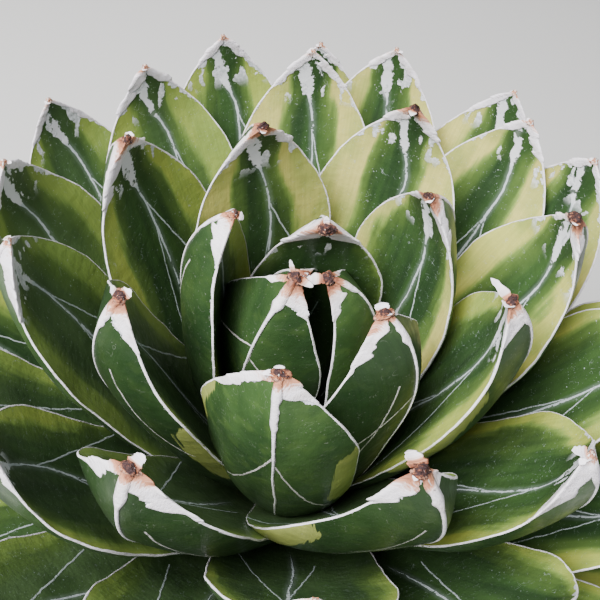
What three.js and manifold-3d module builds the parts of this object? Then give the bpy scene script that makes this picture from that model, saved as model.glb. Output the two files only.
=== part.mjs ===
// Queen Victoria agave: a compact rosette of stiff, keeled leaves on a short heart, in a plain pot.
// Millimetres and degrees, +Z up, origin at the middle of the pot's foot.

import * as THREE from 'three';
import Module from 'manifold-3d';
import { mergeVertices } from 'three/addons/utils/BufferGeometryUtils.js';

// ---- Driving dimensions ----

const CLEARANCE = 0.35; // gap kept between pieces that touch in life
const CUT_REACH = 8; // a leaf can meet only leaves up to this many places inside it

const POT = { height: 110, rim: 82, neck: 76, foot: 56, wall: 5, floor: 6, band: 22, sides: 40 };
const DRAIN = { count: 3, radius: 5, circle: 32, sides: 12 };
const SOIL = { below: 8, crown: 3, sides: 32 };
const HEART = { top: 18, foot: -60, tip: 4, girth: 32, neck: 26, rooted: 14, sides: 16 };
const ROSETTE_HEIGHT = POT.height + 62; // the point that every leaf's reach is measured from

const LEAF_COUNT = 57;
const GOLDEN_ANGLE = 137.5; // turn from each leaf to the next one out
const FIRST_AZIMUTH = 144; // of the innermost leaf, from +X towards +Y

// Driving curves, each a list of [leaf number, value], with leaf 0 the innermost
const TILT = [[0, 3], [4, 9], [8, 17], [14, 27.5], [23, 36], [37, 48.5], [56, 95]];
const REACH = [[0, 120], [2, 131], [5, 145], [8, 150], [11, 153], [26, 161], [56, 150]];
const WIDTH = [[0, 36], [2, 42], [5, 46], [11, 49], [56, 49]];
const FOOT_WIDTH = [[0, 0.8], [9, 0.75], [20, 0.5], [56, 0.45]]; // at the foot, in parts of the width
const KEEL_DEPTH = [[0, 0.245], [14, 0.245], [22, 0.17], [56, 0.16]]; // in parts of the width
const BOW = [[0, 11], [5, 9], [9, 5.5], [18, 6], [24, 8], [56, 9]]; // slope added at the foot, taken off at the tip

// Leaves that differ a little from the rule: turn, tilt, twist, bow and hook in degrees, reach, width and
// point in percent, sweep (how far the middle swings aside) in mm, and how far the keel stands off the
// middle in half widths
const LEAN = {
  0: { turn: 5, tilt: -0.5 },
  1: { tilt: -4.5, reach: -1, width: 6, twist: -9 },
  2: { turn: -8, tilt: -1.5, reach: 1, width: 5, twist: 12, bow: 3, hook: -14, keel: 0.2, sweep: -6 },
  3: { turn: 9, tilt: -4, reach: -1 },
  4: { turn: -6, tilt: 0.5, width: 15, point: -25, twist: 18, bow: 4, keel: 0.25, sweep: -9 },
  5: { turn: -0.5, tilt: -1, twist: 3, bow: 2, hook: -6, sweep: 3 },
  6: { turn: -3.5, tilt: -2 },
  7: { turn: -2.5, tilt: 1.5, width: -10, point: -26, twist: -2, bow: 10, hook: -24, keel: 0.15, sweep: 2 },
  8: { turn: 1.5, tilt: -2 },
  9: { turn: -3, tilt: -1, twist: 12, bow: -2 },
  10: { turn: 1, tilt: 0.5, point: -22, twist: 2, bow: -2, keel: 0.12 },
  11: { turn: -1.5, tilt: -2 },
  12: { turn: -1, tilt: 0.3, width: -3, twist: 5, bow: 1.2, keel: 0.5, sweep: -6 },
  13: { turn: 1, tilt: -1.5 },
  14: { turn: -0.5, tilt: -1.5 },
  15: { turn: -0.3, tilt: 0.5, width: -6, point: -25, twist: 9, bow: 0.5, keel: -0.02, sweep: 1 },
  16: { turn: -4.5, tilt: 2.5, reach: 0.5 },
  17: { turn: -2, width: 6, twist: 4, sweep: 3 },
  18: { turn: -1.5, twist: 5 },
  19: { turn: -2, tilt: 1 },
  21: { turn: -2.5, tilt: 1.5, reach: 0.5 },
  24: { turn: -2 },
  26: { tilt: -3 },
  27: { turn: 3, tilt: -5.5 },
  29: { turn: -1, tilt: -1.5, reach: 1 },
  32: { turn: -5, tilt: -2.5, reach: 1.5 },
  34: { turn: -2, tilt: -0.5, reach: 2 },
  37: { tilt: -6, reach: 1 },
};
const STRAIGHT = {
  turn: 0, tilt: 0, reach: 0, width: 0, point: 0, twist: 0, bow: 0, hook: 0, keel: 0, sweep: 0,
};
const LAST_PLACED = 37; // leaves beyond this one lean by a seeded draw
const DRAW = { turn: 5, tilt: 3, reach: 6, twist: 10 };

// The form of one leaf, in parts of its width or of its length
const HOOK = 22; // how far the last fifth turns inwards
const BASE_DEPTH = 0.2;
const POINT_LENGTH = 0.95;
const KEEL_POINT = 0.75;
const DISH = 0.06;
const EDGE = 1; // thickness of the horny edge
const CRISP = { power: 1.2, root: 1 }; // the outer face's section by the tip, a sharp keel
const FULL = { power: 1.9, root: 1.5 }; // and lower down, round like an egg
const TIP_HALF_WIDTH = 0.7;
const TIP_DEPTH = 0.9;
const SPINE = 3.5;
const ROWS = [0, 0.16, 0.4, 0.62, 0.79, 0.9, 0.965, 1];
const FLANK = 0.6; // where the outer face's middle points stand, from the keel to the edge
const SLOPE_STEPS = 200;

const COLOURS = {
  leaf: 0x40632f,
  heart: 0x8a8f62,
  pot: 0x9c5a3c,
  soil: 0x4b4034,
};

// ---- Small helpers ----

const wasm = await Module();
wasm.setup();

function smooth(from, to, x) {
  const t = THREE.MathUtils.clamp((x - from) / (to - from), 0, 1);
  return t * t * (3 - 2 * t);
}

// Value of a driving curve at leaf n, straight between its points
function along(curve, n) {
  const next = Math.max(curve.findIndex(([place]) => place >= n), 1);
  const [a, low] = curve[next - 1];
  const [b, high] = curve[next];
  return THREE.MathUtils.mapLinear(n, a, b, low, high);
}

// A fixed draw from 0 to 1 for leaf n
function draw(n, kind) {
  const value = Math.sin(n * 12.9898 + kind * 78.233) * 43758.5453;
  return value - Math.floor(value);
}

function toSolid(geometry) {
  const bare = geometry.index ? geometry : geometry.clone();
  bare.deleteAttribute('normal');
  bare.deleteAttribute('uv');
  const merged = mergeVertices(bare, 1e-4);
  const mesh = new wasm.Mesh({
    numProp: 3,
    vertProperties: Float32Array.from(merged.attributes.position.array),
    triVerts: Uint32Array.from(merged.index.array),
  });
  return new wasm.Manifold(mesh);
}

function toGeometry(solid) {
  const mesh = solid.getMesh();
  const geometry = new THREE.BufferGeometry();
  geometry.setAttribute('position', new THREE.BufferAttribute(mesh.vertProperties, 3));
  geometry.setIndex(new THREE.BufferAttribute(mesh.triVerts, 1));
  geometry.computeVertexNormals();
  return geometry;
}

// A round piece from [radius, height] points, turned about +Z
function turned(profile, sides) {
  const points = profile.map(([radius, height]) => new THREE.Vector2(radius, height));
  return new THREE.LatheGeometry(points, sides).rotateX(Math.PI / 2);
}

function piece(name, geometry, colour, roughness) {
  const material = new THREE.MeshStandardMaterial({ color: colour, roughness, metalness: 0 });
  const mesh = new THREE.Mesh(geometry, material);
  mesh.name = name;
  return mesh;
}

// ---- Pot and soil ----

function potSolid() {
  const { height, rim, neck, foot, wall, floor, band } = POT;
  const profile = [
    [0, 0],
    [foot - 2, 0],
    [foot, 2],
    [neck, height - band],
    [rim - 1, height - band + 2],
    [rim, height - 2],
    [rim - 2, height],
    [rim - wall, height],
    [neck - wall, height - band],
    [foot - wall, floor],
    [0, floor],
  ];
  let solid = toSolid(turned(profile, POT.sides));
  for (let i = 0; i < DRAIN.count; i += 1) {
    const angle = (2 * Math.PI * i) / DRAIN.count;
    const drill = new THREE.CylinderGeometry(DRAIN.radius, DRAIN.radius, 4 * floor, DRAIN.sides);
    drill.rotateX(Math.PI / 2);
    drill.translate(DRAIN.circle * Math.cos(angle), DRAIN.circle * Math.sin(angle), 0);
    solid = solid.subtract(toSolid(drill));
  }
  return solid;
}

// The soil fills the pot to just under its rim, with a plain hole where the heart is rooted
function soilSolid() {
  const { height, rim, neck, foot, wall, floor, band } = POT;
  const top = height - SOIL.below;
  const slant = (rim - neck) * ((top - (height - band)) / band);
  const holeRadius = HEART.neck + CLEARANCE;
  const profile = [
    [0, floor + CLEARANCE],
    [foot - wall - CLEARANCE, floor + CLEARANCE],
    [neck - wall - CLEARANCE, height - band],
    [neck - wall - CLEARANCE + slant, top],
    [(holeRadius + neck) / 2, top + 0.7 * SOIL.crown],
    [holeRadius, top + SOIL.crown],
    [holeRadius, top - HEART.rooted - CLEARANCE],
    [0, top - HEART.rooted - CLEARANCE],
  ];
  return toSolid(turned(profile, SOIL.sides));
}

// ---- Heart ----

// Radius of the heart at a height measured from the rosette's own point
function heartRadius(z) {
  const down = THREE.MathUtils.clamp((HEART.top - z) / (HEART.top - HEART.foot), 0, 1);
  return HEART.tip + (HEART.girth - HEART.tip) * Math.sqrt(down);
}

function heartSolid(grow) {
  const soilTop = POT.height - SOIL.below - ROSETTE_HEIGHT;
  const profile = [
    [0, soilTop - HEART.rooted - grow],
    [HEART.neck + grow, soilTop - HEART.rooted - grow],
    [HEART.neck + grow, soilTop + SOIL.crown],
    [HEART.girth + grow, HEART.foot - 1],
  ];
  for (const part of [0, 0.2, 0.45, 0.7, 0.88, 0.97]) {
    const z = THREE.MathUtils.lerp(HEART.foot, HEART.top, part);
    profile.push([heartRadius(z) + grow, z]);
  }
  profile.push([HEART.tip + grow, HEART.top + grow]);
  profile.push([0, HEART.top + 2 + grow]);
  return toSolid(turned(profile, HEART.sides));
}

// ---- Leaves ----

function leafPose(n) {
  const lean = { ...STRAIGHT, ...LEAN[n] };
  if (n > LAST_PLACED) {
    Object.keys(DRAW).forEach((key, kind) => {
      lean[key] = DRAW[key] * (draw(n, kind + 1) - 0.5);
    });
  }
  const z = THREE.MathUtils.lerp(HEART.top, HEART.foot, n / (LEAF_COUNT - 1));
  const radius = heartRadius(z);
  return {
    azimuth: THREE.MathUtils.degToRad(FIRST_AZIMUTH - GOLDEN_ANGLE * n + lean.turn),
    tilt: THREE.MathUtils.degToRad(along(TILT, n) + lean.tilt),
    reach: along(REACH, n) * (1 + lean.reach / 100),
    width: along(WIDTH, n) * (1 + lean.width / 100),
    footWidth: along(FOOT_WIDTH, n),
    depth: along(KEEL_DEPTH, n),
    point: POINT_LENGTH * (1 + lean.point / 100),
    twist: THREE.MathUtils.degToRad(lean.twist),
    bow: THREE.MathUtils.degToRad(along(BOW, n) + lean.bow),
    hook: THREE.MathUtils.degToRad(HOOK + lean.hook),
    keel: lean.keel,
    sweep: lean.sweep,
    foot: new THREE.Vector2(radius - Math.min(4, radius / 2), z),
  };
}

// The leaf's middle line in its own upright plane (x outwards, y up): a gentle bow with a hooked tip.
// The slope is summed along the leaf, then the curve is turned and scaled to end at the leaf's tip.
function middleLine(pose) {
  const slopes = [];
  const points = [new THREE.Vector2(0, 0)];
  for (let i = 0; i <= SLOPE_STEPS; i += 1) {
    const u = i / SLOPE_STEPS;
    slopes.push(pose.bow * (1 - 2 * u) - pose.hook * smooth(0.8, 1, u));
    if (i > 0) {
      const slope = (slopes[i] + slopes[i - 1]) / 2;
      points.push(points[i - 1].clone().add(new THREE.Vector2(Math.cos(slope), -Math.sin(slope))));
    }
  }
  const tip = new THREE.Vector2(Math.sin(pose.tilt), Math.cos(pose.tilt)).multiplyScalar(pose.reach);
  const chord = tip.clone().sub(pose.foot);
  const end = points[SLOPE_STEPS];
  const turn = chord.angle() - end.angle();
  const scale = chord.length() / end.length();
  const rows = ROWS.map((u) => {
    const i = Math.round(u * SLOPE_STEPS);
    const place = points[i].clone().rotateAround(new THREE.Vector2(), turn);
    return { place: place.multiplyScalar(scale).add(pose.foot), heading: turn - slopes[i] };
  });
  return { rows, length: chord.length() };
}

// One ring of the leaf: [across, up] points from the left edge over the inner face and back under
function leafRing(u, pose, length, grow) {
  const { width, keel: keelSide } = pose;
  const toTip = length * (1 - u);
  const point = 1 - Math.min(toTip / (pose.point * width), 1);
  const keelPoint = 1 - Math.min(toTip / (KEEL_POINT * width), 1);
  const narrowing = 1 - (1 - pose.footWidth) * smooth(0.5, 0, u);
  const outline = (1 - point ** 2) * narrowing;
  const thinning = 1 - (1 - BASE_DEPTH) * smooth(0.42, 0, u);
  const dish = DISH * (smooth(1, 0.75, u) + smooth(0.7, 0.1, u)) * width * outline;
  const half = Math.max((width / 2) * outline, TIP_HALF_WIDTH) + grow;
  const depth = pose.depth * width * (1 - keelPoint ** 2) ** 0.75 * thinning;
  const keel = Math.max(depth, TIP_DEPTH) + grow;
  const edge = EDGE / 2 + grow / 2;
  const full = smooth(8, 52, toTip);
  const power = THREE.MathUtils.lerp(CRISP.power, FULL.power, full);
  const root = THREE.MathUtils.lerp(CRISP.root, FULL.root, full);
  const flank = (keel + dish) * (1 - FLANK ** power) ** (1 / root);
  return [
    [-half, dish + edge],
    [0, EDGE / 5 + grow],
    [half, dish + edge],
    [half, dish - edge],
    [half * (keelSide + FLANK * (1 - keelSide)), dish - flank - edge],
    [half * keelSide, -keel - edge],
    [half * (keelSide - FLANK * (1 + keelSide)), dish - flank - edge],
    [-half, dish - edge],
  ];
}

function leafGeometry(n, grow) {
  const pose = leafPose(n);
  const { rows, length } = middleLine(pose);
  const outwards = new THREE.Vector3(Math.cos(pose.azimuth), Math.sin(pose.azimuth), 0);
  const sideways = new THREE.Vector3(-outwards.y, outwards.x, 0);
  const rings = rows.map(({ place, heading }, i) => {
    const swing = pose.sweep * smooth(0, 0.5, ROWS[i]) * smooth(1, 0.6, ROWS[i]);
    const centre = outwards.clone().multiplyScalar(place.x).setZ(place.y).addScaledVector(sideways, swing);
    const ahead = outwards.clone().multiplyScalar(Math.cos(heading)).setZ(Math.sin(heading));
    const up = outwards.clone().multiplyScalar(-Math.sin(heading)).setZ(Math.cos(heading));
    const across = sideways.clone().applyAxisAngle(ahead, -pose.twist * ROWS[i]);
    up.applyAxisAngle(ahead, -pose.twist * ROWS[i]);
    const points = leafRing(ROWS[i], pose, length, grow).map(([x, y]) =>
      centre.clone().addScaledVector(across, x).addScaledVector(up, y));
    return { centre, ahead, points };
  });

  const last = rings[rings.length - 1];
  const caps = [
    rings[0].centre.clone().addScaledVector(rings[0].ahead, -grow),
    last.centre.clone().addScaledVector(last.ahead, SPINE + grow),
  ];
  const vertices = [...rings.flatMap((ring) => ring.points), ...caps];
  const count = rings[0].points.length;
  const footCap = vertices.length - 2;
  const tipCap = vertices.length - 1;
  const lastRing = (rings.length - 1) * count;
  const faces = [];
  for (let k = 0; k < count; k += 1) {
    const next = (k + 1) % count;
    faces.push(footCap, k, next);
    faces.push(tipCap, lastRing + next, lastRing + k);
    for (let row = 0; row < lastRing; row += count) {
      faces.push(row + k, row + count + next, row + next);
      faces.push(row + k, row + count + k, row + count + next);
    }
  }
  const geometry = new THREE.BufferGeometry();
  geometry.setAttribute(
    'position',
    new THREE.Float32BufferAttribute(vertices.flatMap((vertex) => vertex.toArray()), 3),
  );
  geometry.setIndex(faces);
  return geometry;
}

// The largest body left after a cut: a loose scrap is dropped
function largest(solid) {
  return solid.decompose().reduce((best, part) => (part.volume() > best.volume() ? part : best));
}

// Each leaf is pressed in where the backs of younger leaves and the heart lie against it
function leafSolids() {
  const heart = heartSolid(CLEARANCE);
  const backs = [];
  const solids = [];
  for (let n = 0; n < LEAF_COUNT; n += 1) {
    let solid = toSolid(leafGeometry(n, 0)).subtract(heart);
    for (const back of backs.slice(-CUT_REACH)) {
      solid = solid.subtract(back);
    }
    solids.push(largest(solid));
    backs.push(toSolid(leafGeometry(n, CLEARANCE)));
  }
  return solids;
}

// ---- Assembly ----

const agave = new THREE.Group();
agave.add(piece('pot', toGeometry(potSolid()), COLOURS.pot, 0.85));
agave.add(piece('soil', toGeometry(soilSolid()), COLOURS.soil, 0.95));

const rosette = new THREE.Group();
rosette.position.z = ROSETTE_HEIGHT;
rosette.add(piece('heart', toGeometry(heartSolid(0)), COLOURS.heart, 0.6));
leafSolids().forEach((solid, n) => {
  const name = `leaf_${String(n).padStart(2, '0')}`;
  rosette.add(piece(name, toGeometry(solid), COLOURS.leaf, 0.45));
});
agave.add(rosette);

export default agave;
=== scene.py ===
"""Queen Victoria agave in a plain pot: the finished leaves, horn, spines, heart, soil and pot.

Everything is in metres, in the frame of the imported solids. A leaf is one surface worked out from its
number on the spiral, and what lies on it (horn, keel, bloom, spine) is worked out on that surface.
"""

import math

import bpy
import numpy as np
from mathutils import Matrix, Vector


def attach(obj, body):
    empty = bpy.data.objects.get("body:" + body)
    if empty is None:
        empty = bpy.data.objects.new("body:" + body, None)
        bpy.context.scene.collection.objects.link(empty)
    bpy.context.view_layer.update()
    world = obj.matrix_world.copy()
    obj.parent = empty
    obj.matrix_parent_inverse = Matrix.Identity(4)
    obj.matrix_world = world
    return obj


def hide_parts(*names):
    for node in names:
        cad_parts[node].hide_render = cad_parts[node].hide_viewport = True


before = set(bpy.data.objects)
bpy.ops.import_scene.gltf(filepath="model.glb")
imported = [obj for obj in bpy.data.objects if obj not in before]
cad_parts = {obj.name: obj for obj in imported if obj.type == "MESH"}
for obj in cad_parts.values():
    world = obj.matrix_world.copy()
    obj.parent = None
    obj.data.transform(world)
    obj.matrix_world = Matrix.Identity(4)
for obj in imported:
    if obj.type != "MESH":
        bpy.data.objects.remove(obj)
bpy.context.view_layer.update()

bl_info = {
    "name": "Potted agave",
    "version": (1, 0, 0),
    "blender": (4, 5, 0),
    "location": "View3D > Sidebar > Agave",
    "description": "Builds the finished surfaces of a potted agave around its packed solids",
    "category": "Object",
}

# ---- The spiral and the form of a leaf, as in the part's source ----

LEAF_NODES = sorted(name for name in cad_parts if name.startswith("leaf_"))
LEAF_COUNT = len(LEAF_NODES)
GOLDEN_ANGLE = 137.5
FIRST_AZIMUTH = 144.0
POT_HEIGHT = 0.110
ROSETTE_HEIGHT = POT_HEIGHT + 0.062

TILT = ((0, 3), (4, 9), (8, 17), (14, 27.5), (23, 36), (37, 48.5), (56, 95))
REACH = ((0, 0.120), (2, 0.131), (5, 0.145), (8, 0.150), (11, 0.153), (26, 0.161), (56, 0.150))
WIDTH = ((0, 0.036), (2, 0.042), (5, 0.046), (11, 0.049), (56, 0.049))
BOW = ((0, 11), (5, 9), (9, 5.5), (18, 6), (24, 8), (56, 9))
FOOT_WIDTH = ((0, 0.8), (9, 0.75), (20, 0.5), (56, 0.45))
KEEL_DEPTH = ((0, 0.245), (14, 0.245), (22, 0.17), (56, 0.16))

# Leaves that differ a little from the rule: turn, tilt, twist, bow and hook in degrees, reach, width and
# point in percent, sweep (how far the middle swings aside) in metres, and the keel's way off the middle
# in half widths
LEAN = {
    0: dict(turn=5, tilt=-0.5),
    1: dict(tilt=-4.5, reach=-1, width=6, twist=-9),
    2: dict(turn=-8, tilt=-1.5, reach=1, width=5, twist=12, bow=3, hook=-14, keel=0.2, sweep=-0.006),
    3: dict(turn=9, tilt=-4, reach=-1),
    4: dict(turn=-6, tilt=0.5, width=15, point=-25, twist=18, bow=4, keel=0.25, sweep=-0.009),
    5: dict(turn=-0.5, tilt=-1, twist=3, bow=2, hook=-6, sweep=0.003),
    6: dict(turn=-3.5, tilt=-2),
    7: dict(turn=-2.5, tilt=1.5, width=-10, point=-26, twist=-2, bow=10, hook=-24, keel=0.15,
        sweep=0.002),
    8: dict(turn=1.5, tilt=-2),
    9: dict(turn=-3, tilt=-1, twist=12, bow=-2),
    10: dict(turn=1, tilt=0.5, point=-22, twist=2, bow=-2, keel=0.12),
    11: dict(turn=-1.5, tilt=-2),
    12: dict(turn=-1, tilt=0.3, width=-3, twist=5, bow=1.2, keel=0.5, sweep=-0.006),
    13: dict(turn=1, tilt=-1.5),
    14: dict(turn=-0.5, tilt=-1.5),
    15: dict(turn=-0.3, tilt=0.5, width=-6, point=-25, twist=9, bow=0.5, keel=-0.02, sweep=0.001),
    16: dict(turn=-4.5, tilt=2.5, reach=0.5),
    17: dict(turn=-2, width=6, twist=4, sweep=0.003),
    18: dict(turn=-1.5, twist=5),
    19: dict(turn=-2, tilt=1),
    21: dict(turn=-2.5, tilt=1.5, reach=0.5),
    24: dict(turn=-2),
    26: dict(tilt=-3),
    27: dict(turn=3, tilt=-5.5),
    29: dict(turn=-1, tilt=-1.5, reach=1),
    32: dict(turn=-5, tilt=-2.5, reach=1.5),
    34: dict(turn=-2, tilt=-0.5, reach=2),
    37: dict(tilt=-6, reach=1),
}
# Horn arms in millimetres, most width and length of the broad stretch: left edge, right edge and keel
ARMS = {
    0: ((2.0, 6), (2.0, 6), (1.5, 5)),
    1: ((4.4, 9), (1.5, 6), (1.8, 8)),
    2: ((2.0, 8), (4.6, 8), (2.4, 10)),
    3: ((7.5, 11), (7.5, 12), (1.6, 5)),
    4: ((3.8, 10), (0.8, 4), (2.2, 8)),
    5: ((1.8, 8), (4.4, 10), (1.4, 9)),
    6: ((4.0, 12), (2.6, 9), (1.2, 4)),
    7: ((2.6, 13), (6.0, 7), (1.6, 14)),
    8: ((3.8, 10), (3.4, 13), (1.5, 6)),
    9: ((5.6, 8), (1.2, 5), (1.9, 8)),
    10: ((2.2, 6), (5.2, 8.5), (2.2, 9)),
    11: ((3.8, 9), (4.2, 10), (1.2, 5)),
    12: ((5.6, 9), (3.4, 6), (2.4, 10)),
    13: ((3.4, 7), (4.6, 16), (1.2, 6)),
    14: ((6.0, 8), (2.6, 10), (1.5, 5)),
    15: ((3.6, 11), (6.2, 12), (2.6, 9)),
    16: ((3.0, 12), (3.2, 12), (1.5, 5)),
    17: ((5.4, 14), (3.8, 8), (2.8, 9)),
    18: ((1.8, 6), (4.8, 14), (2.0, 8)),
    19: ((4.2, 9), (2.8, 8), (1.2, 4)),
    21: ((3.0, 9), (4.4, 12), (1.2, 5)),
    24: ((2.6, 12), (2.6, 10), (1.2, 4)),
    29: ((2.8, 11), (3.2, 9), (1.2, 4)),
    32: ((2.2, 8), (3.0, 13), (1.2, 4)),
}
# End spines: length and radius in millimetres, and how burnt they are (0 pale to 1 black)
SPINES = {
    0: (1.5, 1.3, 0.9), 1: (1.8, 2.4, 1.0), 2: (1.8, 2.6, 1.0), 3: (2.0, 2.6, 1.0),
    4: (1.4, 2.9, 0.55), 5: (1.3, 1.8, 0.5), 6: (1.7, 1.9, 0.8), 7: (1.2, 2.5, 0.55),
    8: (2.2, 1.8, 0.95), 9: (1.5, 2.4, 0.75), 10: (1.2, 2.2, 0.7), 11: (2.3, 1.8, 0.95),
    12: (1.3, 2.6, 0.85), 13: (1.5, 2.0, 0.9), 14: (1.8, 2.4, 0.95), 15: (1.2, 2.5, 0.75),
}
YOUNG_SPINE, OLD_SPINE = (1.4, 1.5, 0.5), (1.2, 1.0, 0.2)
# Loose flakes of horn by the spine: the way they lean round the tip in degrees, length and breadth in mm
FLAKES = {
    1: ((95, 5.0, 1.8), (20, 2.2, 1.0)),
    2: ((150, 4.6, 0.8), (60, 2.6, 1.3), (15, 4.6, 1.6)),
    3: ((275, 3.2, 0.9),),
    4: ((50, 3.6, 1.7), (265, 2.6, 0.7)),
    5: ((90, 1.9, 1.3),),
    7: ((110, 1.6, 1.2), (205, 3.4, 0.9)),
    8: ((60, 1.8, 1.0),),
    9: ((50, 7.0, 1.3), (150, 2.4, 1.4)),
    10: ((100, 2.2, 1.6),),
    12: ((85, 6.0, 2.0), (225, 2.2, 1.0)),
    15: ((80, 3.4, 1.7),),
    17: ((120, 4.0, 1.5), (170, 3.0, 1.1)),
}
# Yellow strips by the edges of the outer face in millimetres: width, and from where to where off the tip
STRIPS = {
    7: ((2.3, 16, 34), (4.6, 27, 56)),
    9: ((3.5, 20, 60), (0, 20, 90)),
    10: ((0, 20, 90), (2.6, 33, 70)),
    12: ((5.5, 27, 60), (0, 20, 90)),
}
NO_STRIP = (0.0, 22, 90)
# Imprints of a neighbour's edge on the outer face: where they start off the keel in millimetres, and how
# steeply they leave
IMPRINTS = {4: (-5, -0.35), 5: (4, -0.05), 10: (5, 0.40), 15: (6, 0.30), 12: (-4, -0.5)}
# Forks that leave the keel otherwise than by the rule: how far off the tip in millimetres, and how steeply
# (1 as by the rule)
KEEL_FORKS = {7: (22, 0.3)}
# Leaves whose pale flanks reach in less or more than the rule (0 none to 1 most)
FLANKS = {0: 0.1, 1: 0.2, 3: 0.0, 6: 0.45}
# Leaves with more or less sun on their flanks than the rule (0 none to 1 most)
SUN = {13: 0.42, 21: 0.36, 29: 0.40, 34: 0.32, 26: 0.30, 18: 0.26}
# Leaves without a bloom line
PRINTLESS = (3,)
# Leaves whose outer face gets painted shade, a deeper green (0 not deeper to 1 deepest)
PAINTED_SHADE = {2: 0.35, 4: 0.75, 5: 0.45, 10: 0.65, 12: 0.45, 15: 0.65, 9: 0.5}
STRAIGHT = dict.fromkeys("turn tilt reach width point twist bow hook keel sweep".split(), 0)
# The last leaf with a place of its own, the last with a dark spine, and the spread of the rest's lean
LAST_PLACED = 37
LAST_BURNT = 16
DRAW = dict(turn=5, tilt=3, reach=6, twist=10)

# Hook of a leaf's end in degrees, depth by the foot, lengths of the points of the outline and the keel in
# widths, depth of the trough in widths, and thickness of the edge
HOOK = 22
BASE_DEPTH = 0.2
POINT_LENGTH = 0.95
KEEL_POINT = 0.75
DISH = 0.06
EDGE = 0.0003
TIP_HALF_WIDTH = 0.0007
TIP_DEPTH = 0.0009
HEART_TOP, HEART_FOOT = 0.018, -0.060
HEART_TIP, HEART_GIRTH, HEART_NECK = 0.004, 0.032, 0.026
HEART_ROOTED, HEART_CAP, SCAR_SPACING = 0.014, 0.002, 0.0016
POT_RIM, POT_NECK, POT_FOOT = 0.082, 0.076, 0.056
POT_WALL, POT_FLOOR, POT_BAND, POT_BEVEL = 0.005, 0.006, 0.022, 0.002
DRAIN_COUNT, DRAIN_RADIUS, DRAIN_CIRCLE = 3, 0.005, 0.032
SOIL_TOP = POT_HEIGHT - 0.008
SOIL_CROWN = 0.003
SOIL_LUMP, SOIL_LUMP_HEIGHT, GRAIN_MARGIN = 0.006, 0.0011, 0.003
CLEARANCE = 0.00035

MM = 0.001
# Millimetres: so far off that a line which stops leaves no trace between two rows of points
FAR_OFF = 500.0
# A way in from the edge, in millimetres, that counts as free of it
FREE_OF_EDGE = 5.0
RIPPLE_VALUES = 512
SEED_STEP = 3.7
GRIT_SEED = 228
# How finely each mesh is cut: the spacing of rows down a leaf's body and its horn (fine and coarse, and
# where each ends or starts off the tip or the arm, in millimetres), its columns, then rows and sides
FLESH_SPACING = (1.1, 3.0, 16, 55)
HORN_SPACING = (0.33, 2.8, 0, 17)
INNER_COLUMNS, OUTER_COLUMNS = 15, 27
SPINE_ROWS, SPINE_SIDES = 18, 24
FLAKE_ROWS, FLAKE_SIDES = 16, 10
GRAIN_ROWS, GRAIN_SIDES = 4, 7
SOIL_ROWS, SOIL_SIDES = 26, 120
POT_SIDES, DRILL_SIDES, HEART_SIDES = 128, 32, 96
LEAST_POT_FACES = 1000
# Each lamp's size and its place off the point it shines at, which is this far above the rosette's own point
LAMPS = {"key": (0.6, (-0.40, -0.27, 0.92)), "fill": (1.2, (0.8, -0.5, 0.5))}
LIGHT_AIM = 0.05
FLOOR_REACH = 4.0
SKY_COLOUR = (0.85, 0.9, 1.0, 1.0)
LIME = (0.72, 0.66, 0.58)


# ---- Numbers ----

def smooth(start, end, x):
    """A soft step: 0 before start, 1 after end, with 3t^2 - 2t^3 between them."""
    t = np.clip((x - start) / (end - start), 0, 1)
    return t * t * (3 - 2 * t)


def along(curve, n):
    """The value of a driving curve at leaf n, straight between its points."""
    places, values = zip(*curve)
    return float(np.interp(n, places, values))


def draw(n, kind):
    """A fixed draw from 0 to 1: the fraction of a large sine of the leaf's number."""
    value = math.sin(n * 12.9898 + kind * 78.233) * 43758.5453
    return value - math.floor(value)


def ripple(x, seed, octaves=3):
    """Smooth noise along a line, about -1 to 1: random values joined by soft steps, in octaves."""
    total = np.zeros_like(x, dtype=float)
    weight = 1.0
    for octave in range(octaves):
        values = np.random.default_rng(int(seed) * 17 + octave).uniform(-1, 1, RIPPLE_VALUES)
        place = np.asarray(x) * 2**octave + 100
        low = np.floor(place).astype(int)
        part = smooth(0, 1, place - low)
        after = values[(low + 1) % RIPPLE_VALUES]
        total += weight * (values[low % RIPPLE_VALUES] * (1 - part) + after * part)
        weight *= 0.5
    return total / (2 - 2 * weight)


def circle(sides):
    """The angles of one turn, as a row."""
    return np.linspace(0, 2 * math.pi, sides, endpoint=False)[None, :]


def heart_radius(z):
    """Radius of the heart at a height above the rosette's own point: it widens with the root of depth."""
    down = np.clip((HEART_TOP - z) / (HEART_TOP - HEART_FOOT), 0, 1)
    return HEART_TIP + (HEART_GIRTH - HEART_TIP) * np.sqrt(down)


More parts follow.
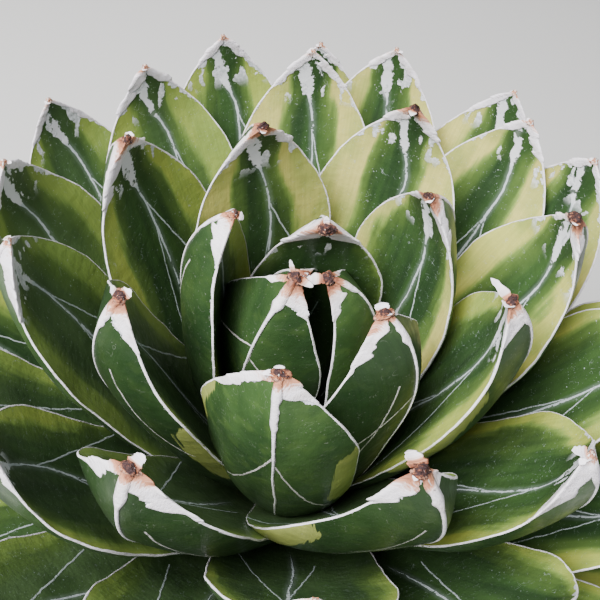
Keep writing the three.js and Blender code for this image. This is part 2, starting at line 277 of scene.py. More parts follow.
class Leaf:
    """One leaf: its middle line, and the inner and outer face across it."""

    def __init__(self, n):
        lean = {**STRAIGHT, **LEAN.get(n, {})}
        if n > LAST_PLACED:
            for kind, key in enumerate(DRAW):
                lean[key] = DRAW[key] * (draw(n, kind + 1) - 0.5)
        self.n = n
        self.azimuth = math.radians(FIRST_AZIMUTH - GOLDEN_ANGLE * n + lean["turn"])
        tilt = math.radians(along(TILT, n) + lean["tilt"])
        reach = along(REACH, n) * (1 + lean["reach"] / 100)
        self.width = along(WIDTH, n) * (1 + lean["width"] / 100)
        self.point = POINT_LENGTH * (1 + lean["point"] / 100)
        self.sweep = lean["sweep"]
        self.foot_width = along(FOOT_WIDTH, n)
        self.depth = along(KEEL_DEPTH, n)
        self.twist = math.radians(lean["twist"])
        self.keel_side = lean["keel"]
        bow = math.radians(along(BOW, n) + lean["bow"])
        hook = math.radians(HOOK + lean["hook"])
        z = HEART_TOP + (HEART_FOOT - HEART_TOP) * n / (LEAF_COUNT - 1)
        radius = heart_radius(z)
        foot = np.array([radius - min(0.004, radius / 2), z])
        tip = reach * np.array([math.sin(tilt), math.cos(tilt)])
        self.length = float(np.hypot(*(tip - foot)))
        self.u = np.linspace(0, 1, 401)
        slope = bow * (1 - 2 * self.u) - hook * smooth(0.8, 1, self.u)
        middle = (slope[1:] + slope[:-1]) / 2
        steps = np.concatenate([[0], np.cumsum(np.exp(-1j * middle))])
        chord = complex(*(tip - foot)) / steps[-1]
        self.line = steps * chord + complex(*foot)
        self.heading = np.angle(chord) - slope

    def frames(self, u):
        """At u (0 foot, 1 tip): the centre, and the directions across, up (inwards) and ahead."""
        x = np.interp(u, self.u, self.line.real)
        z = np.interp(u, self.u, self.line.imag)
        heading = np.interp(u, self.u, self.heading)
        out = np.array([math.cos(self.azimuth), math.sin(self.azimuth), 0.0])
        side = np.array([-out[1], out[0], 0.0])
        top = np.array([0.0, 0.0, 1.0])
        swing = self.sweep * smooth(0, 0.5, u) * smooth(1, 0.6, u)
        centre = x[..., None] * out + (z + ROSETTE_HEIGHT)[..., None] * top + swing[..., None] * side
        up = -np.sin(heading)[..., None] * out + np.cos(heading)[..., None] * top
        ahead = np.cos(heading)[..., None] * out + np.sin(heading)[..., None] * top
        turn = (self.twist * u)[..., None]
        across = np.cos(turn) * side + np.sin(turn) * up
        up = np.cos(turn) * up - np.sin(turn) * side
        return centre, across, up, ahead

    def tip(self):
        """The tip itself, and the directions across, up and ahead there."""
        return (part[0] for part in self.frames(np.array([1.0])))

    def half(self, u):
        """Half width at u: a rounded point at the tip, narrowing again below the middle."""
        point = 1 - np.minimum(self.length * (1 - u) / (self.point * self.width), 1)
        outline = (1 - point**2) * (1 - (1 - self.foot_width) * smooth(0.5, 0, u))
        return np.maximum(self.width / 2 * outline, TIP_HALF_WIDTH)

    def section(self, u):
        """At u: the half width, the depths of the keel and the dish, and the outer face's two powers."""
        half = self.half(u)
        to_tip = self.length * (1 - u)
        keel_point = 1 - np.minimum(to_tip / (KEEL_POINT * self.width), 1)
        thinning = 1 - (1 - BASE_DEPTH) * smooth(0.42, 0, u)
        keel = np.maximum(self.depth * self.width * (1 - keel_point**2) ** 0.75 * thinning, TIP_DEPTH)
        dish = DISH * (smooth(1, 0.75, u) + smooth(0.7, 0.1, u)) * 2 * half
        round_part = smooth(8 * MM, 52 * MM, to_tip)
        return half, keel, dish, 1.2 + 0.7 * round_part, 1 / (1 + 0.5 * round_part)

    def surface(self, u, v, face, lift=0.0):
        """Points at u along and v across (-1 to 1 between the edges), on the inner face where face is
        1 and the outer where it is -1, raised by lift along the face's own normal. The inner face is
        a shallow trough, dish * v^2. The outer is -(keel)(1 - |v|^p)^(1/q): sharp-keeled by the tip,
        round below. Both edges waver a little, and the faces have low swells."""
        u, v, face, lift = np.broadcast_arrays(
            np.asarray(u, float), np.asarray(v, float), np.asarray(face, float), np.asarray(lift, float)
        )
        centre, across, up, _ahead = self.frames(u)
        half, keel, dish, power, root = self.section(u)
        to_tip = self.length * (1 - u)
        inner = dish * v**2 + EDGE * (0.2 + 0.3 * v**2)
        inner_rise = (2 * dish + 0.6 * EDGE) * v / half
        from_keel = v - self.keel_side
        flank = 1 - self.keel_side * np.sign(from_keel)
        size = np.clip(np.abs(from_keel) / flank, 1e-6, 1)
        left = np.maximum(1 - size**power, 1e-4)
        outer = dish - (keel + dish) * left**root - EDGE / 2
        outer_rise = (keel + dish) * root * left ** (root - 1) * power * size ** (power - 1)
        outer_rise = outer_rise * np.sign(from_keel) / (half * flank)
        height = np.where(face > 0, inner, outer)
        rise = np.where(face > 0, inner_rise, outer_rise)
        normal = (up - rise[..., None] * across) / np.sqrt(1 + rise**2)[..., None] * face[..., None]
        seed = self.n * 31
        swell = 0.28 * MM * ripple(to_tip / (24 * MM), seed + 1, 2) * ripple(v * 1.7 + 9, seed + 2, 2)
        swell = swell * smooth(3 * MM, 15 * MM, to_tip)
        waver, lap = (
            np.where(v > 0, ripple(to_tip / (long * MM), first), ripple(to_tip / (long * MM), first + 1))
            for long, first in ((10, seed + 3), (15, seed + 5))
        )
        shift = 0.45 * MM * waver * v**2 * smooth(2 * MM, 14 * MM, to_tip)
        sway = 0.55 * MM * lap * v**2 * smooth(3 * MM, 18 * MM, to_tip)
        place = centre + (v * half + shift)[..., None] * across + (height + sway)[..., None] * up
        return place + (lift + swell)[..., None] * normal

    def edge(self, u, side, outwards, rise):
        """Points off the edge on one side (-1 or 1): outwards across the leaf and risen above it."""
        middle = (self.surface(u, side + 0 * u, 1) + self.surface(u, side + 0 * u, -1)) / 2
        _centre, across, up, _ahead = self.frames(u)
        return middle + (side * outwards)[..., None] * across + rise[..., None] * up


# ---- Where horn and lines lie on a leaf (all in millimetres) ----

def arm(n, place):
    """Most width and length of a horn arm: place is 0 or 1 for the left or right edge, 2 for the keel."""
    if n in ARMS:
        return ARMS[n][place]
    broad = 1.5 + 1.6 * draw(n, 20 + place)
    return (0.6 * broad if place == 2 else broad), (5 if place == 2 else 7) + 8 * draw(n, 24 + place)


def spine(n):
    """Length and radius of leaf n's end spine, and its burn."""
    return SPINES.get(n, YOUNG_SPINE if n < LAST_BURNT else OLD_SPINE)


def seen_outside(leaf):
    """How far it is the outer face that shows from the front: 1 for the young leaves on that side."""
    return float(smooth(22, 16, leaf.n) * smooth(0.4, -0.1, math.sin(leaf.azimuth)))


def arm_width(broad, length, way, seed, tail=0.05):
    """Width of an arm down the leaf: a broad stretch that starts narrower, then a tail that tapers."""
    wobble = ripple(way / 4.5, seed, 2)
    stretch = smooth(1.18 * length, 0.82 * length, way + 0.22 * length * wobble)
    shape = (1 - tail) * stretch + tail * np.exp(-(way / (2.2 * length)) ** 2)
    return broad * shape * (0.7 + 0.3 * smooth(0, 0.4 * length, way)) * (1 + 0.22 * wobble)


def horn_width(leaf, side, face, to_tip, edge):
    """Width of the horn on a face: thin along the leaf, and broad for a stretch by the spine."""
    place = 1 if side > 0 else 0
    broad, length = arm(leaf.n, place)
    seed = leaf.n * 11 + place + (2 if face > 0 else 0)
    outside = seen_outside(leaf)
    edge = edge * (1 - 0.65 * outside)
    line = edge * (1 + 0.45 * ripple(to_tip / 9, seed + 5, 2)) * smooth(130, 50, to_tip) + 0.06
    return line + 0.72 * arm_width(broad, length, to_tip, seed, 0.05 - 0.03 * outside)


def print_line(n, to_tip):
    """The bloom line of the inner face: how far off the middle it runs, and its half width. It starts
    as a blotch under the tip, crosses the middle and thins to a line."""
    sway = 0.65 + 0.7 * draw(n, 61)
    off = 1.9 - 4.9 * smooth(6, 30, to_tip) + 2.6 * smooth(38, 80, to_tip)
    off = off * sway + 0.5 * ripple(to_tip / 13, n * 13 + 1, 2)
    blotch = (0.9 + 0.9 * draw(n, 62)) * smooth(19 + 5 * draw(n, 63), 13, to_tip) * smooth(4.0, 7.0, to_tip)
    line = 0.34 + 0.16 * ripple(to_tip / 7, n * 13 + 2, 2)
    line = line * smooth(120, 60, to_tip) * smooth(4, 6, to_tip)
    return off, (n not in PRINTLESS) * (blotch + line)


def fork_lines(n, to_tip, off_main, inner):
    """Two thin lines that leave the main one: how far off the middle each runs, how much its slant widens
    it, and where it is drawn. On the inner face both run down the leaf, and on the outer they leave the
    keel steeply."""
    lines = []
    for k in (0, 1):
        if inner:
            start = 23 + 14 * draw(n, 64 + k) + 12 * k
            origin = np.interp(start, to_tip[::-1], off_main[::-1]) if to_tip[0] > to_tip[-1] else 0.0
            slope = (-0.30, 0.20)[k] * (0.7 + 0.6 * draw(n, 66 + k))
            longest = (62, 48)[k]
        else:
            start, steep = KEEL_FORKS.get(n, (21 + 12 * draw(n, 68), 1.0))
            start = start + (3 + 6 * draw(n, 69)) * k
            origin = 0.0
            slope = 1.35 if (k == 0) == (draw(n, 70) > 0.5) else -1.15
            slope = slope * (0.75 + 0.5 * draw(n, 71 + k)) * steep
            longest = (12 + 4 * draw(n, 73 + k)) / steep
            if k == 1 and n in IMPRINTS:
                start, longest = 17, 38
                origin, slope = IMPRINTS[n]
        run = to_tip - start
        path = origin + slope * run + 0.25 * ripple(to_tip / 5, n * 13 + 5 + k, 2)
        drawn = (run > 0) & (run < longest)
        lines.append((path, math.sqrt(1 + slope**2), drawn))
    return lines


# ---- Meshes ----

FLESH, HORN, THORN = range(3)
VALUES = ("place", "leaf", "edge", "line", "fork")


class Patchwork:
    """Gathers closed shells, with their material and their values, into one mesh."""

    def __init__(self):
        self.points = []
        self.faces = []
        self.kinds = []
        self.data = []
        self.count = 0

    def tube(self, points, data=None, kind=0):
        """A shell of closed rings (rows, around, 3), shut at both ends by a fan round a middle point
        and turned so that its faces point outwards."""
        rows, around, _ = points.shape
        row = np.arange(rows - 1)[:, None] * around
        here = np.arange(around)[None, :]
        after = (here + 1) % around
        quads = np.stack([row + here, row + after, row + around + after, row + around + here], axis=-1)
        quads = quads.reshape(-1, 4)
        first = rows * around
        ring, after = here[0], after[0]
        foot = np.stack([np.full(around, first), after, ring], axis=-1)
        tip = np.stack([np.full(around, first + 1), first - around + ring, first - around + after], axis=-1)
        fans = np.concatenate([foot, tip])
        ends = np.stack([points[0].mean(0), points[-1].mean(0)])
        vertices = np.concatenate([points.reshape(-1, 3), ends])
        corners = np.concatenate([quads[:, [0, 1, 2]], quads[:, [0, 2, 3]], fans])
        a, b, c = (vertices[corners[:, i]] - ends[0] for i in range(3))
        if np.einsum("ij,ij->i", a, np.cross(b, c)).sum() < 0:
            quads = quads[:, ::-1]
            fans = fans[:, ::-1]
        self.points.append(vertices)
        if data is not None:
            self.data.append(np.concatenate([
                data.reshape(rows * around, -1),
                np.stack([data[0].mean(0), data[-1].mean(0)]),
            ]))
        self.faces.append((quads + self.count, fans + self.count))
        self.kinds.append(kind)
        self.count += len(vertices)

    def piece(self, name, materials):
        """The mesh object; its values go into vector attributes, three to each."""
        points = np.concatenate(self.points).astype(np.float32)
        flat = []
        totals = []
        kinds = []
        for (quads, fans), kind in zip(self.faces, self.kinds):
            flat += [quads.ravel(), fans.ravel()]
            totals += [np.full(len(quads), 4), np.full(len(fans), 3)]
            kinds.append(np.full(len(quads) + len(fans), kind))
        corners = np.concatenate(flat).astype(np.int32)
        totals = np.concatenate(totals)
        mesh = bpy.data.meshes.new(name)
        mesh.vertices.add(len(points))
        mesh.vertices.foreach_set("co", points.ravel())
        mesh.loops.add(len(corners))
        mesh.loops.foreach_set("vertex_index", corners)
        mesh.polygons.add(len(totals))
        mesh.polygons.foreach_set("loop_start", (np.cumsum(totals) - totals).astype(np.int32))
        for material in materials:
            mesh.materials.append(material)
        mesh.polygons.foreach_set("material_index", np.concatenate(kinds).astype(np.int32))
        mesh.update(calc_edges=True)
        mesh.shade_smooth()
        if self.data:
            data = np.concatenate(self.data).astype(np.float32)
            for k, value in enumerate(VALUES):
                layer = mesh.attributes.new(value, "FLOAT_VECTOR", "POINT")
                layer.data.foreach_set("vector", np.ascontiguousarray(data[:, 3 * k:3 * k + 3]).ravel())
        made = bpy.data.objects.new(name, mesh)
        bpy.context.scene.collection.objects.link(made)
        return made


def rows_by_spacing(length, spacing, fine_end=0):
    """Values of u with a fine spacing near the tip that grows to a coarse one towards the foot."""
    fine, coarse = (MM * value for value in spacing[:2])
    fine_until, coarse_from = ((fine_end + value) * MM for value in spacing[2:])
    to_tip = [0.0]
    while to_tip[-1] < length:
        part = float(smooth(fine_until, coarse_from, to_tip[-1]))
        to_tip.append(to_tip[-1] + fine + (coarse - fine) * part)
    to_tip = np.array(to_tip) * length / to_tip[-1]
    return 1 - to_tip[::-1] / length


def leaf_values(leaf, u, v, face, edge):
    """What a leaf's materials read at u, v (lengths in millimetres), three to each of VALUES: v, the way
    to the tip and the face; the leaf's seed, how far its pale flanks reach, and how much painted sun
    they get or how much painted shade deepens the green of the outer face; the way in from the edge,
    the horn's width and the way across; the way off the main line, its half width and the burn; the ways
    off two forks and the width of the outer face's strip."""
    n = leaf.n
    u = np.asarray(u, float)
    to_tip = leaf.length * (1 - u) / MM
    half = leaf.half(u) / MM
    off, print_half = print_line(n, to_tip)
    v, face = np.broadcast_arrays(np.asarray(v, float), np.asarray(face, float))
    if v.ndim == 1:
        v, face = v[None, :] + 0 * u[:, None], face[None, :] + 0 * u[:, None]
    inner = face > 0
    across = np.where(inner, v, v - leaf.keel_side) * half[:, None]
    left = v < 0
    horn = np.where(inner, *(
        np.where(left, *(horn_width(leaf, side, one, to_tip, edge)[:, None] for side in (-1, 1)))
        for one in (1, -1)
    ))
    keel_half = 0.32 + 0.1 * ripple(to_tip / 6, n * 13 + 9, 2)
    main = np.where(inner, across - off[:, None], across - keel_drift(n, to_tip)[:, None])
    main_half = np.where(inner, print_half[:, None], keel_half[:, None])
    forks = []
    for pair in zip(fork_lines(n, to_tip, off, True), fork_lines(n, to_tip, off, False)):
        forks.append(np.where(inner, *(
            np.where(drawn[:, None], (across - path[:, None]) / steepness, FAR_OFF)
            for path, steepness, drawn in pair
        )))
    same = np.ones_like(v)
    behind = 0.5 + 0.5 * math.sin(leaf.azimuth)
    flanks = FLANKS.get(n, 0.28 + 0.64 * behind + 0.14 * (draw(n, 7) - 0.5))
    # Painted sun: the flanks get paler the more they face the key light and the further behind the leaf
    # stands
    sunny = 0.5 + 0.5 * math.cos(leaf.azimuth - math.radians(50))
    sunny = 0.22 + 0.30 * behind + 0.48 * sunny * (0.35 + 0.65 * behind) + 0.2 * (draw(n, 8) - 0.5)
    sunny = SUN.get(n, sunny)
    strip = np.where(left, *(
        (width * smooth(start - 3, start + 3, to_tip) * smooth(end + 10, end, to_tip))[:, None]
        for width, start, end in STRIPS.get(n, (NO_STRIP, NO_STRIP))
    ))
    # The leaf's third value: painted sun on the inner face, painted shade on the outer
    return np.stack([
        v, to_tip[:, None] * same, face,
        same * n * SEED_STEP, same * flanks, np.where(inner, sunny, PAINTED_SHADE.get(n, 0.0)),
        (1 - np.abs(v)) * half[:, None], horn, across,
        main, main_half, same * spine(n)[2],
        *forks, strip,
    ], axis=-1)


def keel_drift(n, to_tip):
    """How far the keel's horn line strays from the middle, in millimetres."""
    return 0.5 * ripple(to_tip / 18, n * 13 + 2, 2) * smooth(2, 12, to_tip)


def add_flesh(work, leaf, settings):
    """The leaf's body: rings over the inner face and back under the outer one."""
    u = rows_by_spacing(leaf.length, FLESH_SPACING)
    inner = np.sin(np.linspace(-1, 1, INNER_COLUMNS) * math.pi / 2)
    outer = np.sin(np.linspace(1, -1, OUTER_COLUMNS) * math.pi / 2)
    v = np.concatenate([inner, outer])
    face = np.concatenate([np.ones(len(inner)), -np.ones(len(outer))])
    points = leaf.surface(u[:, None], v[None, :], face[None, :])
    work.tube(points, leaf_values(leaf, u, v, face, settings.horn_edge / MM), FLESH)


def add_horn(work, leaf, side, settings):
    """The horny edge of one side: a flat band folded over the edge, with a free torn fin where it is
    broad. Slow and fast ripples tooth its borders, one of them more than the other."""
    n = leaf.n
    edge = settings.horn_edge / MM
    seed = n * 29 + (7 if side > 0 else 0)
    broad, length = arm(n, 1 if side > 0 else 0)
    fine_until = max(length + 5, 34 if n <= LAST_PLACED else 0)
    u = rows_by_spacing(leaf.length, HORN_SPACING, fine_until)
    u = u[u > 0.05]
    way = leaf.length * (1 - u) / MM
    half, keel, dish, power, root = leaf.section(u)
    toothed = 1 if draw(n, 44 + side) > 0.5 else -1
    reach = smooth(0.8, 2.2, horn_width(leaf, side, 1, way, 0.0))
    slim = 1 - 0.8 * seen_outside(leaf)
    widths = {}
    for face in (1, -1):
        width = horn_width(leaf, side, face, way, edge)
        slow = ripple(way / 2.3, seed + face + 3, 2)
        fast = np.abs(ripple(way / 0.8, seed + face + 9, 1))
        width = width + reach * (0.34 * slow + 0.35 * fast if face != toothed else 0.5 * slow + 0.70 * fast)
        notch = np.maximum(ripple(way / 1.9, seed + face + 21, 2) - 0.15, 0)
        notch = notch + 0.25 * ripple(way / 1.2, seed + face + 25, 1)
        width = width * (1 - 0.95 * notch * smooth(64, 30, way))
        width = np.minimum(np.maximum(width, 0.13) * MM, half * 0.96)
        if face < 0:
            width = np.minimum(width, half / power * (width / (keel + dish)) ** (1 / root))
        widths[face] = width
    tear = smooth(-0.4, 0.3, ripple(way / 2.6, seed + 11, 2))
    most_fin = min(0.34 * broad, settings.fin / MM)
    fin = most_fin * (0.3 + 0.7 * tear) + 0.35 * np.abs(ripple(way / 0.9, seed + 12, 1))
    fin = (0.10 * slim + reach * fin) * smooth(0, 2.5, way) * MM
    rise = fin * (0.1 + 0.45 * ripple(way / 7, seed + 13, 2))
    thick = (0.07 + 0.13 * reach) * MM
    rings = []
    places = []
    folds = ((1, -0.12), (1, 0.8), (0.88, 1.0), (0.45, 1.05), (0.08, 1))
    for face, parts in ((1, folds), (-1, folds[::-1])):
        if face < 0:
            for above in (1, -1):
                rings.append(leaf.edge(u, side, fin, rise + above * (0.05 * MM + 0.3 * thick)))
                places.append(side)
        for part, height in parts:
            v = side * (1 - part * widths[face] / half)
            lift = height * thick if height > 0 else height * MM + 0 * u
            rings.append(leaf.surface(u, v, face, lift))
            places.append(v)
    rings.append(leaf.edge(u, side, -0.45 * MM + 0 * u, 0 * u))
    places.append(side)
    v = np.stack([np.broadcast_to(place, u.shape) for place in places], axis=1)
    face = np.array([1] * 6 + [-1] * 6 + [1]) + 0 * v
    work.tube(np.stack(rings, axis=1), leaf_values(leaf, u, v, face, edge), HORN)


def add_keel(work, leaf, settings):
    """The horn of the keel: a strap by the spine that thins to a raised line far down the leaf."""
    n = leaf.n
    end = 82 + 22 * draw(n, 41)
    broad, length = arm(n, 2)
    way = np.concatenate([np.arange(0.2, 24, 0.4), np.arange(24, end, 1.8)])[::-1]
    u = 1 - way * MM / leaf.length
    half = leaf.half(u)
    fade = smooth(end, end - 40, way)
    strap = arm_width(broad, length, way, n * 37, 0.24)
    reach = smooth(0.5, 1.8, strap)
    sides = []
    for k in (0, 1):
        teeth = 0.22 * ripple(way / 2.2, n * 37 + 5 + k, 2) + 0.25 * k * ripple(way / 0.9, n * 37 + 8, 1)
        sides.append(np.minimum((0.13 + 0.11 * fade + 0.5 * strap + reach * teeth) * MM, half * 0.8))
    left, right = sides if draw(n, 46) > 0.5 else sides[::-1]
    thick = (0.14 + 0.20 * smooth(40, 6, way)) * MM * (0.35 + 0.65 * fade)
    middle = leaf.keel_side * half + keel_drift(n, way) * MM
    rings = []
    places = []
    strap_ring = ((-1, -0.1), (-0.92, 0.75), (-0.3, 1.1), (0.3, 1.1), (0.92, 0.75), (1, -0.1), (0, -0.2))
    for part, height in strap_ring:
        v = np.clip((middle + part * (left if part < 0 else right)) / half, -1, 1)
        lift = height * thick if height > 0 else height * MM + 0 * u
        rings.append(leaf.surface(u, v, -1, lift))
        places.append(v)
    v = np.stack(places, axis=1)
    work.tube(np.stack(rings, axis=1), leaf_values(leaf, u, v, -1 + 0 * v, settings.horn_edge / MM), HORN)


def tip_values(leaf, to_tip):
    """A leaf's values for what stands on its tip: those of the tip itself, with its own way down."""
    values = leaf_values(leaf, np.array([1.0]), np.array([0.0]), np.array([1.0]), 0.0)
    values = np.broadcast_to(values[0, 0], (*to_tip.shape, values.shape[-1])).copy()
    values[..., 1] = to_tip
    values[..., 6] = FREE_OF_EDGE
    return values


def add_spine(work, leaf):
    """The end spine: a low, rough, broken cone that stands on the leaf's tip."""
    n = leaf.n
    centre, across, up, ahead = leaf.tip()
    long, stout, _burn = (MM * value for value in spine(n))
    part = np.linspace(-0.7, 1, SPINE_ROWS)[:, None]
    angle = circle(SPINE_SIDES)
    blunt = 0.16 + 0.25 * draw(n, 52)
    taper = 1 - (1 - blunt) * smooth(-0.4, 1, part)
    radius = 0.74 * stout * taper * np.sqrt(np.clip(1.03 - np.abs(part) ** 4, 0, 1))
    lumps = 0.16 * np.sin(angle * 2 + part * 3 + n)
    lumps = lumps + 0.38 * ripple(2.2 * np.cos(angle) + 1.4 * np.sin(angle) + 3 * part, n * 7 + 1)
    lumps = lumps + 0.30 * ripple(5 * np.sin(angle + n) + 9 * part, n * 7 + 2)
    radius = radius * (1 + lumps)
    bend = 0.5 * long * part**2 * (draw(n, 53) - 0.2)
    points = (
        centre - 0.0006 * ahead - 0.0003 * up
        + (part * long)[..., None] * ahead
        + (radius * np.cos(angle) * 1.15)[..., None] * across
        + (radius * np.sin(angle) * 0.85 + bend)[..., None] * up
    )
    work.tube(points, tip_values(leaf, -part * long / MM + 0 * radius), THORN)


def flakes(n):
    """The flakes of horn by leaf n's spine: their turn round the tip, length and breadth."""
    if n in FLAKES:
        return FLAKES[n]
    if n > LAST_BURNT:
        return ((360 * draw(n, 81), 1.0 + 1.0 * draw(n, 99) ** 2, 0.6 + 0.5 * draw(n, 105)),)
    return tuple(
        (360 * draw(n, 81 + k), 1.3 + 1.5 * draw(n, 99 + k) ** 2, 1.0 + 0.7 * draw(n, 105 + k))
        for k in range(1 + int(1.5 * draw(n, 80)))
    )


def add_flakes(work, leaf):
    """Torn flakes of horn by the spine: tapering, curled and toothed, leaning out of the tip."""
    n = leaf.n
    centre, across, up, ahead = leaf.tip()
    part = np.linspace(0, 1, FLAKE_ROWS)[:, None]
    angle = circle(FLAKE_SIDES)
    for k, (around, long, broad) in enumerate(flakes(n)):
        around = math.radians(around)
        outwards = math.cos(around) * across + 0.8 * math.sin(around) * up
        way = outwards * (0.6 + 0.5 * draw(n, 87 + k)) + ahead * (0.35 - 0.5 * draw(n, 93 + k))
        way = way / np.linalg.norm(way)
        wide = np.cross(way, outwards + 0.9 * ahead)
        wide = wide / np.linalg.norm(wide)
        thin = np.cross(wide, way)
        teeth = 1 + 0.22 * ripple(part * 5, n * 41 + k, 2) + 0.16 * ripple(part * 14, n * 43 + k, 1)
        width = MM * (broad * (1 - part ** (2.6 + 2.0 * draw(n, 117 + k))) ** 0.7 * teeth + 0.05)
        curl = 0.7 * long * MM * part**2 * (draw(n, 111 + k) - 0.5)
        base = centre + outwards * 0.7 * MM - ahead * 1.0 * MM
        points = (
            base
            + (part * long * MM)[..., None] * way
            + (width * np.cos(angle))[..., None] * wide
            + (0.14 * MM * np.sin(angle) + curl + 0.3 * width * np.cos(angle) ** 2)[..., None] * thin
        )
        work.tube(points, tip_values(leaf, 1.0 + 7 * part + 0 * angle), HORN)


def make_leaf(n, settings):
    """One leaf's body with all that lies on it."""
    leaf = Leaf(n)
    work = Patchwork()
    add_flesh(work, leaf, settings)
    for side in (-1, 1):
        add_horn(work, leaf, side, settings)
    add_keel(work, leaf, settings)
    add_spine(work, leaf)
    add_flakes(work, leaf)
    return work


def soften(profile, radius, steps=5):
    """A profile with each corner but the ends swapped for a short curve: (1-t)^2 a + 2t(1-t) b + t^2 c."""
    profile = np.array(profile, float)
    points = [profile[:1]]
    t = np.linspace(0, 1, steps)[:, None]
    for before, corner, after in zip(profile[:-2], profile[1:-1], profile[2:]):
        back, on = before - corner, after - corner
        a = corner + back * min(radius / np.linalg.norm(back), 0.45)
        c = corner + on * min(radius / np.linalg.norm(on), 0.45)
        points.append((1 - t) ** 2 * a + 2 * t * (1 - t) * corner + t**2 * c)
    points.append(profile[-1:])
    return np.concatenate(points)


def turned(profile, sides):
    """Rings (rows, sides, 3) of a profile of radius and height turned about +Z."""
    radius, height = np.array(profile).T
    angle = circle(sides)
    radius = np.maximum(radius, 0.2 * MM)[:, None]
    return np.stack([radius * np.cos(angle), radius * np.sin(angle), height[:, None] + 0 * angle], axis=-1)


def make_pot(material):
    """The pot: its wall's profile turned round, with the drain holes cut through the floor."""
    band_foot = POT_HEIGHT - POT_BAND
    profile = soften([
        (0, 0), (POT_FOOT - POT_BEVEL, 0), (POT_FOOT, POT_BEVEL), (POT_NECK, band_foot),
        (POT_RIM - POT_BEVEL / 2, band_foot + POT_BEVEL), (POT_RIM, POT_HEIGHT - POT_BEVEL),
        (POT_RIM - POT_BEVEL, POT_HEIGHT), (POT_RIM - POT_WALL, POT_HEIGHT),
        (POT_NECK - POT_WALL, band_foot), (POT_FOOT - POT_WALL, POT_FLOOR), (0, POT_FLOOR),
    ], 1.6 * MM)
    work = Patchwork()
    work.tube(turned(profile, POT_SIDES))
    drills = Patchwork()
    for k in range(DRAIN_COUNT):
        angle = 2 * math.pi * k / DRAIN_COUNT
        drill = turned([(DRAIN_RADIUS, -POT_FLOOR), (DRAIN_RADIUS, 2 * POT_FLOOR)], DRILL_SIDES)
        drills.tube(drill + np.array([DRAIN_CIRCLE * math.cos(angle), DRAIN_CIRCLE * math.sin(angle), 0]))
    whole = work.piece("pot_whole", [material])
    cutter = drills.piece("pot_drills", [material])
    cut = whole.modifiers.new("drain", "BOOLEAN")
    cut.operation = "DIFFERENCE"
    cut.solver = "EXACT"
    cut.object = cutter
    graph = bpy.context.evaluated_depsgraph_get()
    mesh = bpy.data.meshes.new_from_object(whole.evaluated_get(graph))
    mesh.name = "pot_thrown"
    for spare in (whole, cutter):
        bpy.data.objects.remove(spare)
    if len(mesh.polygons) < LEAST_POT_FACES:
        raise RuntimeError("the pot's drain holes could not be cut")
    made = bpy.data.objects.new("pot_thrown", mesh)
    bpy.context.scene.collection.objects.link(made)
    return made


def make_soil(material, grit_materials, settings):
    """The soil: a closed body with a lumpy crown, and separate grains of grit pressed into it."""
    slant = (POT_RIM - POT_NECK) * ((SOIL_TOP - (POT_HEIGHT - POT_BAND)) / POT_BAND)
    outer = POT_NECK - POT_WALL - CLEARANCE
    brim = outer + slant
    hole = HEART_NECK + CLEARANCE
    foot, floor = POT_FLOOR + CLEARANCE, SOIL_TOP - HEART_ROOTED - CLEARANCE

    def crown(t):
        return SOIL_TOP + SOIL_CROWN * (1 - t**1.5)

    rings = turned([
        (0, foot), (POT_FOOT - POT_WALL - CLEARANCE, foot), (outer, POT_HEIGHT - POT_BAND),
        *((hole + (brim - hole) * t, crown(t)) for t in np.linspace(1, 0, SOIL_ROWS)),
        (hole, floor), (0, floor),
    ], SOIL_SIDES)
    x, y, z = np.moveaxis(rings, -1, 0)
    radius = np.hypot(x, y)
    open_top = (z >= SOIL_TOP - 1e-6) & (radius > hole + 1e-4) & (radius < brim - 1e-4)
    lumps = ripple(x / SOIL_LUMP + 30, 3) * ripple(y / SOIL_LUMP + 60, 4)
    lumps = lumps + 0.5 * ripple((x + y) / (SOIL_LUMP / 2) + 90, 5)
    z += np.where(open_top, SOIL_LUMP_HEIGHT * lumps, 0)
    work = Patchwork()
    work.tube(rings)

    rng = np.random.default_rng(GRIT_SEED)
    part = np.linspace(0.12, 0.88, GRAIN_ROWS)[:, None] * math.pi
    angle = circle(GRAIN_SIDES)
    unit = np.stack([
        np.sin(part) * np.cos(angle), np.sin(part) * np.sin(angle), np.cos(part) + 0 * angle,
    ], axis=-1)
    for _ in range(settings.grains):
        far = math.sqrt(rng.uniform((hole + GRAIN_MARGIN) ** 2, (brim - GRAIN_MARGIN) ** 2))
        turn = rng.uniform(0, 2 * math.pi)
        size = rng.uniform(0.7, 2.1) * MM * (1.3 if rng.uniform() > 0.85 else 1.0)
        shape = unit * rng.uniform(0.75, 1.25, (GRAIN_ROWS, GRAIN_SIDES, 1)) * rng.uniform(0.6, 1.1, 3)
        spin = Matrix.Rotation(rng.uniform(0, 6), 3, Vector(rng.normal(size=3)).normalized())
        top = crown((far - hole) / (brim - hole)) + 0.3 * size
        centre = np.array([far * math.cos(turn), far * math.sin(turn), top])
        grain = shape @ np.array(spin).T * size + centre
        work.tube(grain, kind=1 + int(rng.integers(len(grit_materials))))
    return work.piece("soil_gritty", [material, *grit_materials])


